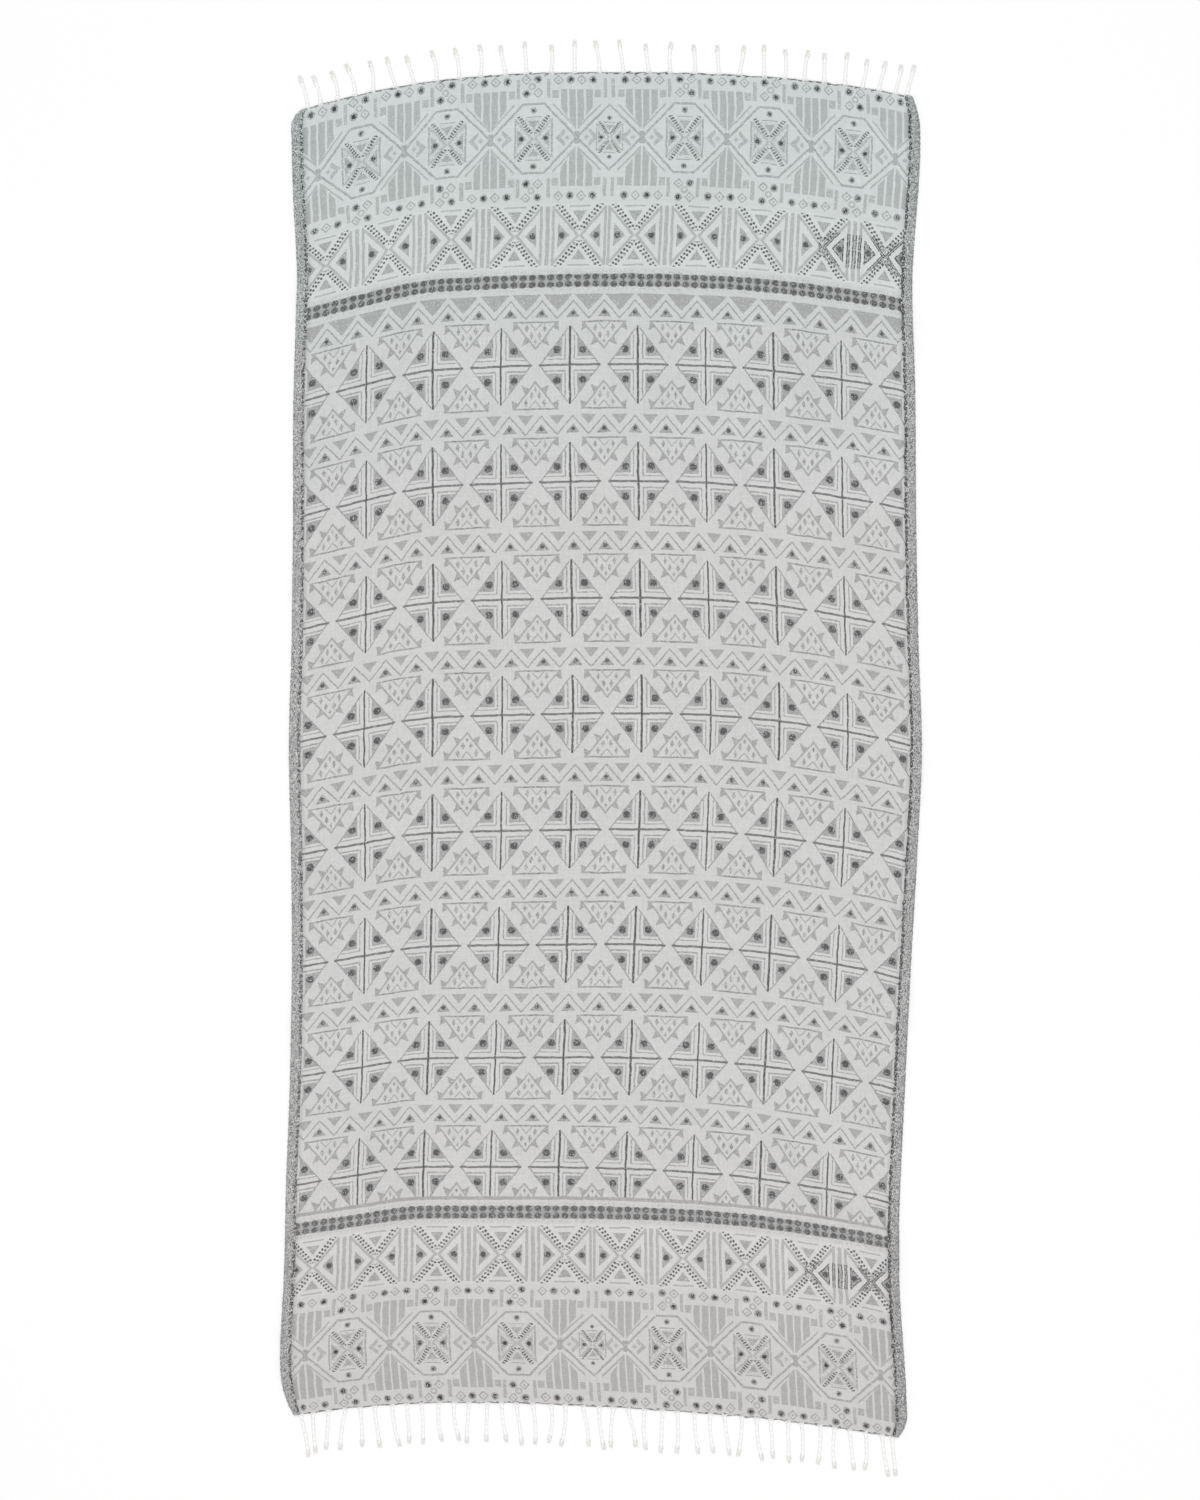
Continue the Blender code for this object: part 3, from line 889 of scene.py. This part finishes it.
# %% Lay the reverse's yarns
reverse = Draft(REVERSE, thread_length=1.0)
everywhere = abs(reverse.u) + 1.0
from_side = HALF_WIDTH / MM - abs(reverse.u)
on_right = reverse.u.math("GREATER_THAN", reverse.u, 0.0)
soft_noise = reverse.texture("ShaderNodeTexNoise", reverse.plan, "Fac", Scale=170.0, Detail=0.0)
patches = Varying(reverse.tree, soft_noise)
reverse.lay("grey", 0.78, everywhere)
reverse.lay("slate", on_right * 0.08 + 0.25, everywhere)
reverse.lay("charcoal", 0.12, everywhere)
from_stitch = from_nearest(reverse.v + patches * 3.0, FIRST_STITCH + 1.5, STITCH_STEP)
spot = dot(from_side - 12.8 - on_right * 0.6, from_stitch, 2.5)
sewn = both(spot, patches * 10.0 - 4.1 + on_right * 0.7)
reverse.lay("slate", 0.62, sewn, both(2.4 - from_side, on_right - 0.5))
reverse.lay("charcoal", 0.50, sewn)

# %% Give the sheet its materials
for draft in (field, crosses, medallions, close_dots, reverse):
    cloth.data.materials.append(finish_weave(draft))
print("woven:", [slot.material.name for slot in cloth.material_slots])

# %% [markdown]
# ## The sewing
#
# Each side hem is held by a chain stitch: every loop of thread passes through the one before. A loop is
# modelled once, as a ring that is drawn out long and pinched at one end, and then copied down the hem. A copy
# is moved with a matrix made of the cloth's own two directions at that place, so it turns with the hem.

# %% Copy a stitch to its places
def top_of_cloth(across, along):
    """A point of the sheet's upper face."""
    plan = on_floor(across, along)
    height = swell_at(across, along) + thickness_at(across)[1] + unevenness(across, along)
    return Vector((plan.x, plan.y, height * MM))


def cloth_frame(u, v):
    """Turns and moves a small piece from the origin to the flat cloth's place u, v. All in millimetres."""
    across, along = u * MM / HALF_WIDTH, v * MM
    place = top_of_cloth(across, along)
    right = (on_floor(across + 0.004, along) - on_floor(across - 0.004, along)).normalized()
    away = (on_floor(across, along - 0.001) - on_floor(across, along + 0.001)).normalized()
    frame_matrix = Matrix.Identity(4)
    frame_matrix.col[0].xyz = (*right * MM, 0.0)
    frame_matrix.col[1].xyz = (*away * MM, 0.0)
    frame_matrix.col[2].xyz = (0.0, 0.0, MM)
    frame_matrix.translation = place
    return frame_matrix


def join_copies(copies, name):
    """Joins the copies into one piece."""
    deselect_all()
    for copy in copies:
        copy.select_set(True)
    bpy.context.view_layer.objects.active = copies[0]
    bpy.ops.object.join()
    joined = start_mesh(name)
    print(name, "joins", len(copies), "copies,", len(joined.data.polygons), "faces")
    return joined


def copy_of(model):
    """A copy with its own mesh."""
    copy = model.copy()
    copy.data = model.data.copy()
    bpy.context.collection.objects.link(copy)
    return copy


def sew(model, name, places):
    """One piece from many stitches. Each place is u, v, a turn, a width, a length and a lift."""
    copies = []
    for u, v, turn, width, length, lift in places:
        stitch = copy_of(model)
        shape = Matrix.Diagonal((width, length, 1.0, 1.0))
        turned = Matrix.Rotation(turn, 4, "Z")
        lifted = Matrix.Translation((0.0, 0.0, lift))
        stitch.data.transform(cloth_frame(u, v) @ lifted @ turned @ shape)
        copies.append(stitch)
    bpy.data.objects.remove(model)
    return join_copies(copies, name)


# %% Select by place
def select_where(made, test):
    """Goes to edit mode with the vertices selected that pass the test."""
    bpy.ops.object.mode_set(mode="EDIT")
    bpy.ops.mesh.select_mode(type="VERT")
    bpy.ops.mesh.select_all(action="DESELECT")
    bpy.ops.object.mode_set(mode="OBJECT")
    for vert in made.data.vertices:
        vert.select = test(vert.co)
    bpy.ops.object.mode_set(mode="EDIT")


def cut_into_rings(made, axis, cuts):
    """Cuts a rod across, by subdividing only its lengthwise edges. axis is 0 for X, 1 for Y."""
    deselect_all()
    made.select_set(True)
    bpy.context.view_layer.objects.active = made
    bpy.ops.object.mode_set(mode="EDIT")
    bpy.ops.mesh.select_mode(type="EDGE")
    bpy.ops.mesh.select_all(action="DESELECT")
    bpy.ops.object.mode_set(mode="OBJECT")
    places = [vert.co[axis] for vert in made.data.vertices]
    middle = (max(places) + min(places)) / 2.0
    for edge in made.data.edges:
        start, stop = (made.data.vertices[i].co[axis] for i in edge.vertices)
        edge.select = (start - middle) * (stop - middle) < 0.0
    bpy.ops.object.mode_set(mode="EDIT")
    bpy.ops.mesh.subdivide(number_cuts=cuts)
    bpy.ops.object.mode_set(mode="OBJECT")


# %% Model one loop of the chain stitch
def chain_loop():
    deselect_all()
    bpy.ops.mesh.primitive_torus_add(
        major_segments=12, minor_segments=5, major_radius=1.45, minor_radius=0.62, generate_uvs=True
    )
    made = start_mesh("chain_loop")
    select_where(made, lambda co: True)
    bpy.ops.transform.resize(value=(1.0, 1.9, 0.85))
    select_where(made, lambda co: co.y > 1.8)
    bpy.ops.transform.resize(value=(0.45, 1.0, 0.8))
    bpy.ops.object.mode_set(mode="OBJECT")
    bpy.ops.object.shade_smooth()
    return made


# %% Sew the two side hems
HEM_SEWING = [
    # name, side, distance from the edge, width, length, sunk stitches
    ("left_hem_stitches", -1, 12.5, 0.58, 0.78, 0.40),
    ("right_hem_stitches", 1, 13.5, 0.86, 0.92, 0.22),
]
sewing = random.Random(17)
stitches = []
for name, side, from_edge, width, length, sunk in HEM_SEWING:
    places = []
    v = FIRST_STITCH
    while v < CLOTH_LENGTH / MM - FIRST_STITCH:
        places.append((
            side * (HALF_WIDTH / MM - from_edge) + sewing.uniform(-0.9, 0.9), v + sewing.uniform(-0.8, 0.8),
            sewing.uniform(-0.4, 0.4), width * sewing.uniform(0.7, 1.3), length * sewing.uniform(0.8, 1.3),
            -0.7 if sewing.random() < sunk else 0.25,
        ))
        v += STITCH_STEP
    stitches.append(sew(chain_loop(), name, places))

# %% [markdown]
# Along both ends a dark overcast stitch keeps the crosswise threads from slipping out. From above it shows as
# short slanted dashes. Each is a length of thread whose two ends dive into the cloth.

# %% Model one overcast stitch
DASH_LENGTH = 12.0


def overcast_stitch():
    deselect_all()
    lengthwise = (0.0, math.pi / 2.0, 0.0)
    bpy.ops.mesh.primitive_cylinder_add(vertices=6, radius=0.75, depth=DASH_LENGTH, rotation=lengthwise)
    bpy.ops.object.transform_apply(location=True, rotation=True, scale=True)
    made = start_mesh("overcast_stitch")
    cut_into_rings(made, 0, 5)
    for vert in made.data.vertices:
        share = abs(vert.co.x) / (DASH_LENGTH / 2.0)
        bow = 0.4 * math.cos(vert.co.x * math.pi / 7.0)
        vert.co.y = vert.co.y * (1.0 - 0.6 * share**3) + bow
        vert.co.z = vert.co.z * (0.8 - 0.4 * share**3) - 1.2 * share**3
    bpy.ops.object.shade_smooth()
    return made


# %% Overcast the two ends
END_SEWING = [
    # name, distance down the cloth, step, width, length, turn
    ("far_end_stitches", 1.8, 13.0, 1.0, 1.0, 0.16),
    ("near_end_stitches", CLOTH_LENGTH / MM - 1.6, 15.0, 0.85, 0.75, 0.05),
]
for name, v, step, length, width, turn in END_SEWING:
    places = []
    u = -396.0
    while u < 396.0:
        places.append((
            u, v + sewing.uniform(-0.9, 0.9), turn + sewing.uniform(-0.28, 0.28),
            length * sewing.uniform(0.4, 1.2), width * sewing.uniform(0.6, 1.1), sewing.uniform(-0.5, 0.15),
        ))
        u += step * sewing.uniform(0.7, 1.3)
    stitches.append(sew(overcast_stitch(), name, places))

# %% [markdown]
# The thread is dark and matt. Its two plies show as fine slanted ridges. The same kind of material, in white,
# later serves for the cords.

# %% The sewing thread
def thread_material(name, tone, ridges, blotches, relief):
    """A plain dyed thread: a wave over the piece's own map gives its twist."""
    made = bpy.data.materials.new(name)
    made.use_nodes = True
    tree = made.node_tree
    shader = tree.nodes["Principled BSDF"]
    place = tree.nodes.new("ShaderNodeTexCoord")
    wave = tree.nodes.new("ShaderNodeTexWave")
    wave.bands_direction = "DIAGONAL"
    wave.inputs["Scale"].default_value = ridges
    wave.inputs["Distortion"].default_value = 1.5
    tree.links.new(place.outputs["UV"], wave.inputs["Vector"])
    blotch = tree.nodes.new("ShaderNodeTexNoise")
    blotch.inputs["Scale"].default_value = 320.0
    tree.links.new(place.outputs["Object"], blotch.inputs["Vector"])
    ramp = tree.nodes.new("ShaderNodeValToRGB")
    ramp.color_ramp.elements[0].position = 0.30
    ramp.color_ramp.elements[0].color = (*(part * (1.0 - blotches) for part in tone), 1.0)
    ramp.color_ramp.elements[1].position = 0.70
    ramp.color_ramp.elements[1].color = (*(part * (1.0 + blotches) for part in tone), 1.0)
    tree.links.new(blotch.outputs["Fac"], ramp.inputs["Fac"])
    tree.links.new(ramp.outputs["Color"], shader.inputs["Base Color"])
    bump = tree.nodes.new("ShaderNodeBump")
    bump.inputs["Strength"].default_value = relief
    bump.inputs["Distance"].default_value = 0.0002
    tree.links.new(wave.outputs["Color"], bump.inputs["Height"])
    tree.links.new(bump.outputs["Normal"], shader.inputs["Normal"])
    shader.inputs["Roughness"].default_value = 0.85
    shader.inputs["Specular IOR Level"].default_value = 0.2
    return made


dark_thread = thread_material("sewing_thread", (0.084, 0.084, 0.088), 6.0, 0.40, 0.5)
for piece in stitches:
    piece.data.materials.append(dark_thread)
    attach(piece, "root")

# %% [markdown]
# ## The fringe
#
# The fringe is the lengthwise threads themselves, left long. They are gathered in bundles, two bundles are
# twisted into a cord, and a knot keeps the twist in. Past the knot the threads spread again in a small tuft.
#
# The places, lengths and leans of the cords are the solid model's, drawn from the same seeds.

# %% Where the cords lie
Fringe = collections.namedtuple(
    "Fringe", "name along outward first last strands bunching length uneven lean lean_sides spread bend seed"
)
FRINGES = [
    Fringe("fringe_top", 0.0, 1, -0.968, 0.985, 30, 0.90, 37.0, 3.0, -2.5, 9.0, 4.0, 2.0, 11),
    Fringe("fringe_bottom", 1797.0, -1, -0.962, 0.972, 39, 0.30, 50.5, 3.5, 2.0, 0.0, 9.0, 2.5, 23),
]
ROOT_GAP = 3.5
STRAND_ROOT_WIDTH = 4.4
TIP_SPACING = 9.5
Strand = collections.namedtuple("Strand", "root lean bend length")


def strands_of(fringe):
    """Each cord's root (across the cloth), lean and bend at its tip, and length."""
    draw = random.Random(fringe.seed)
    strands = []
    tip_before = -math.inf
    margin = STRAND_ROOT_WIDTH * MM / HALF_WIDTH
    first, last = fringe.first + margin, fringe.last - margin
    for i in range(fringe.strands):
        even = 2.0 * i / (fringe.strands - 1) - 1.0
        bunched = math.sin(even * fringe.bunching) / math.sin(fringe.bunching)
        root = (first + last) / 2.0 + bunched * (last - first) / 2.0
        if 0 < i < fringe.strands - 1:
            root += draw.uniform(-1.0, 1.0) * margin / 2.0
        lean = fringe.lean + fringe.lean_sides * root + draw.uniform(-1.0, 1.0) * fringe.spread
        root_x = lie(root, fringe.along * MM).x
        tip_x = max(root_x + lean * MM, tip_before + TIP_SPACING * MM)
        tip_before = tip_x
        bend = draw.uniform(-1.0, 1.0) * fringe.bend * MM
        length = (fringe.length + draw.uniform(-1.0, 1.0) * fringe.uneven) * MM
        strands.append(Strand(root, tip_x - root_x, bend, length))
    return strands


def strand_point(fringe, strand, root, share):
    """The middle of a cord at a share of its length, in plan. root is where it leaves the cloth."""
    sideways = strand.lean * max(share, 0.0) ** 1.4 + strand.bend * math.sin(math.pi * share)
    return root + Vector((sideways, fringe.outward * (ROOT_GAP * MM + strand.length * share)))


# %% [markdown]
# One cord is modelled at the origin, in millimetres, along Y. Its two plies are cylinders side by side. They
# are cut into short rings, joined, and twisted three times round each other by a Simple Deform modifier.

# %% Model the two plies
PLY_RADIUS = 1.4
PLY_LENGTH = 36.0
CORD_START = -2.5
KNOT_AT = 33.0
CORD_TIP = 40.0
PLY_CUTS = 27
TWIST_TURNS = 3.2


def rod(x, z, start, stop, radius, sides):
    """A closed round rod along Y."""
    deselect_all()
    bpy.ops.mesh.primitive_cylinder_add(
        vertices=sides, radius=radius, depth=stop - start, end_fill_type="TRIFAN",
        location=(x, (start + stop) / 2.0, z), rotation=(math.pi / 2.0, 0.0, 0.0),
    )
    bpy.ops.object.transform_apply(location=True, rotation=True, scale=True)
    return start_mesh("rod")


plies = [rod(side * 0.98, 0.0, CORD_START, CORD_START + PLY_LENGTH, PLY_RADIUS, 7) for side in (-1, 1)]
for ply in plies:
    cut_into_rings(ply, 1, PLY_CUTS)
cord = join_copies(plies, "cord")
twist = cord.modifiers.new("twist", "SIMPLE_DEFORM")
twist.deform_method = "TWIST"
twist.deform_axis = "Y"
twist.angle = 2.0 * math.pi * TWIST_TURNS
bpy.ops.object.modifier_apply(modifier=twist.name)

# %% [markdown]
# The knot is three turns of cord round the two plies. The tuft is a handful of tapered threads, and a few
# more reach back over the cloth's edge, where they show as light spots.

# %% Model the knot and the loose threads
def turn_of_knot(y, radius, tilt):
    deselect_all()
    bpy.ops.mesh.primitive_torus_add(
        major_segments=10, minor_segments=5, major_radius=radius, minor_radius=1.15,
        location=(0.0, y, 0.0), rotation=(math.pi / 2.0 + tilt, 0.0, tilt * 1.5), generate_uvs=True,
    )
    bpy.ops.object.transform_apply(location=True, rotation=True, scale=True)
    return start_mesh("turn")


def loose_thread(start, stop, radius, bow=0.0):
    """A thread from one point to another, bowed sideways and thinner at its end."""
    made = rod(0.0, 0.0, 0.0, 1.0, radius, 5)
    cut_into_rings(made, 1, 2)
    for vert in made.data.vertices:
        t = vert.co.y
        thin = 1.0 - 0.55 * t
        aside = vert.co.x * thin + bow * math.sin(math.pi * t)
        vert.co = start.lerp(stop, t) + Vector((aside, 0.0, vert.co.z * thin))
    return made


knot = [turn_of_knot(KNOT_AT - 1.2, 1.9, 0.18), turn_of_knot(KNOT_AT + 0.5, 2.2, -0.15)]
knot.append(turn_of_knot(KNOT_AT - 0.3, 2.1, 0.75))
TUFT_THREADS = 11
ROOT_THREADS = 5
tuft = []
for i in range(TUFT_THREADS):
    swing = 2.0 * i / (TUFT_THREADS - 1) - 1.0
    start = Vector((swing * 1.1, KNOT_AT + 0.5, 0.8 * (-1) ** i))
    stop = Vector((swing * 2.5, CORD_TIP - 1.1 * (i % 4), -1.5 + 0.9 * (i % 3)))
    tuft.append(loose_thread(start, stop, 0.72, bow=0.7 * (-1) ** (i // 2)))
roots = []
for i in range(ROOT_THREADS):
    swing = 2.0 * i / (ROOT_THREADS - 1) - 1.0
    start = Vector((swing * 0.9, CORD_START + 4.0, 0.4 * (-1) ** i))
    stop = Vector((swing * 3.2, -ROOT_GAP - 1.7, -0.9))
    roots.append(loose_thread(start, stop, 1.05))

# %% Put the cord together
wound = thread_material("fringe_cord", (0.925, 0.921, 0.910), 9.0, 0.02, 0.3)
knotted = thread_material("fringe_knot", (0.895, 0.880, 0.840), 9.0, 0.03, 0.3)
cord.data.materials.append(wound)
cord.data.materials.append(knotted)
for thing in knot + tuft:
    thing.data.materials.append(knotted)
for thing in roots:
    thing.data.materials.append(wound)
cord = join_copies([cord] + knot + tuft + roots, "cord")
lowest = min(vert.co.z for vert in cord.data.vertices)
for vert in cord.data.vertices:
    vert.co.z = (vert.co.z - lowest) * 0.86
bpy.ops.object.shade_smooth()
print("one cord:", [round(side, 1) for side in cord.dimensions], "mm")

# %% [markdown]
# Each copy is bent along its own line. Up to the knot it is stretched to its length. The knot and the tuft
# keep their size, so every cord has the same knot.

# %% Lay the cords
def lay_cord(fringe, strand):
    laid = copy_of(cord)
    length = strand.length / MM
    stretch = (length - (CORD_TIP - KNOT_AT + 3.0)) / (KNOT_AT - 3.0)
    root = on_floor(strand.root, fringe.along * MM)
    for vert in laid.data.vertices:
        x, y, z = vert.co
        if y > KNOT_AT - 3.0:
            y += length - CORD_TIP
        elif y > 0.0:
            y *= stretch
        share = y / length
        here = strand_point(fringe, strand, root, share)
        ahead = strand_point(fringe, strand, root, share + 0.02)
        direction = (ahead - here).normalized()
        plan = here + Vector((direction.y, -direction.x)) * x * MM
        vert.co = (plan.x, plan.y, z * MM)
    return laid


fringes = []
for fringe in FRINGES:
    laid = [lay_cord(fringe, strand) for strand in strands_of(fringe)]
    piece = join_copies(laid, fringe.name.replace("fringe", "cords"))
    bpy.ops.object.mode_set(mode="EDIT")
    bpy.ops.mesh.select_all(action="SELECT")
    bpy.ops.mesh.normals_make_consistent(inside=False)
    bpy.ops.object.mode_set(mode="OBJECT")
    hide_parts(fringe.name)
    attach(piece, "root")
    fringes.append(piece)
bpy.data.objects.remove(cord)

# %% [markdown]
# The pieces that belong to the sheet, the cords and the stitches, are put together in one list here.

fringes + stitches

# %% [markdown]
# ## The studio
#
# The towel lies on a plain pale floor. Two wide lights and a pale sky leave only faint shadows. The camera
# looks straight down on it, from far enough away that nothing is drawn in perspective.

# %% Floor
deselect_all()
bpy.ops.mesh.primitive_plane_add(size=8.0, location=(0.0, 0.0, -0.0003))
floor = start_mesh("studio_floor")
paint = bpy.data.materials.new("pale_floor")
paint.use_nodes = True
floor_shader = paint.node_tree.nodes["Principled BSDF"]
floor_shader.inputs["Base Color"].default_value = (0.90, 0.90, 0.90, 1.0)
floor_shader.inputs["Roughness"].default_value = 0.9
floor_shader.inputs["Specular IOR Level"].default_value = 0.1
floor.data.materials.append(paint)

# %% Lights
LIGHT_HEIGHT = 7.0
LIGHT_SIZE = 5.0
LIGHT_POWER = 190.0
for name, y in (("far_light", 2.5), ("near_light", -2.5)):
    lamp = bpy.data.lights.new(name, "AREA")
    lamp.shape = "SQUARE"
    lamp.size = LIGHT_SIZE
    lamp.energy = LIGHT_POWER
    light = bpy.data.objects.new(name, lamp)
    light.location = (0.0, y, LIGHT_HEIGHT)
    light.rotation_euler = (Vector((0.0, 0.0, 0.0)) - light.location).to_track_quat("-Z", "Y").to_euler()
    bpy.context.collection.objects.link(light)

world = bpy.context.scene.world or bpy.data.worlds.new("sky")
bpy.context.scene.world = world
world.use_nodes = True
sky = world.node_tree.nodes["Background"]
sky.inputs["Color"].default_value = (1.0, 1.0, 1.0, 1.0)
sky.inputs["Strength"].default_value = 0.55
bpy.context.scene.view_settings.view_transform = "Standard"

# %% Camera
IMAGE_HEIGHT = 1500.0
PIXELS_PER_METRE = 750.0
CAMERA_LENS = 100.0
# The middle of the photograph lies a centimetre beyond the towel's own.
FRAME_MIDDLE = (-0.0012, 0.0113)
lens = bpy.data.cameras.new("camera")
lens.lens = CAMERA_LENS
camera = bpy.data.objects.new("camera", lens)
distance = IMAGE_HEIGHT / PIXELS_PER_METRE * CAMERA_LENS / lens.sensor_width
camera.location = (*FRAME_MIDDLE, distance)
bpy.context.collection.objects.link(camera)
bpy.context.scene.camera = camera
print("the camera stands", round(distance, 3), "m over the floor")
